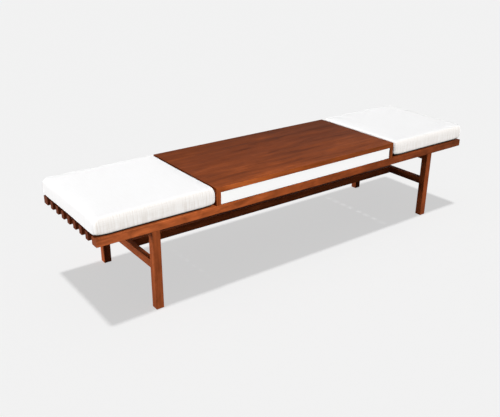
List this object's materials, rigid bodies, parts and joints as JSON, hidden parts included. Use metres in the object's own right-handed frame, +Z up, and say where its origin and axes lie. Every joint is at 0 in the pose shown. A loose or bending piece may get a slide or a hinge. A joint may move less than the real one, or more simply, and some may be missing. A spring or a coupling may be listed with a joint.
{
  "type": "slatted platform bench with cushions and drawer table",
  "caption": "Long low slatted wood bench with loose box cushions at both ends and a loose low table box with a drawer in the middle.",
  "frame": {"origin": "on the floor, under the middle of the bench", "axes": "+X along the bench, -Y the side that the drawer opens to, +Z up"},
  "size_m": [2.14, 0.53, 0.4725],
  "materials": {
    "frame_wood": "satin",
    "table_wood": "satin",
    "inner_wood": "satin",
    "white_laminate": "satin",
    "screw_steel": "satin",
    "cushion_fabric": "matte"
  },
  "bodies": {
    "bench": {"front_rail": "frame_wood", "rear_rail": "frame_wood", "slat_1": "frame_wood", "slat_2": "frame_wood", "slat_3": "frame_wood", "slat_4": "frame_wood", "slat_5": "frame_wood", "slat_6": "frame_wood", "slat_7": "frame_wood", "centre_batten": "frame_wood", "front_left_leg": "frame_wood", "front_right_leg": "frame_wood", "rear_left_leg": "frame_wood", "rear_right_leg": "frame_wood", "left_top_rail": "frame_wood", "right_top_rail": "frame_wood", "left_cross_stretcher": "frame_wood", "right_cross_stretcher": "frame_wood", "long_stretcher": "frame_wood", "leg_dowels": "inner_wood", "left_frame_screws": "screw_steel", "right_frame_screws": "screw_steel", "batten_screws": "screw_steel"},
    "table": {"table_top": "table_wood", "table_left_side": "table_wood", "table_right_side": "table_wood", "table_back": "table_wood", "left_drawer_runner": "inner_wood", "right_drawer_runner": "inner_wood", "runner_screws": "screw_steel", "left_locating_block": "inner_wood", "right_locating_block": "inner_wood", "left_drawer_stop": "inner_wood", "right_drawer_stop": "inner_wood"},
    "drawer": {"drawer_front": "inner_wood", "drawer_front_laminate": "white_laminate", "drawer_left_side": "inner_wood", "drawer_right_side": "inner_wood", "drawer_back": "inner_wood", "drawer_floor": "inner_wood", "drawer_screws": "screw_steel", "drawer_finger_batten": "inner_wood"},
    "left_cushion_body": {"left_cushion": "cushion_fabric"},
    "right_cushion_body": {"right_cushion": "cushion_fabric"}
  },
  "joints": [
    {"name": "table_lift", "type": "slide", "parent": "bench", "child": "table", "axis": [0, 0, 1], "range_m": [0, 0.15]},
    {"name": "drawer_slide", "type": "slide", "parent": "table", "child": "drawer", "axis": [0, -1, 0], "range_m": [0, 0.3]},
    {"name": "left_cushion_lift", "type": "slide", "parent": "bench", "child": "left_cushion_body", "axis": [0, 0, 1], "range_m": [0, 0.15]},
    {"name": "right_cushion_lift", "type": "slide", "parent": "bench", "child": "right_cushion_body", "axis": [0, 0, 1], "range_m": [0, 0.15]}
  ]
}
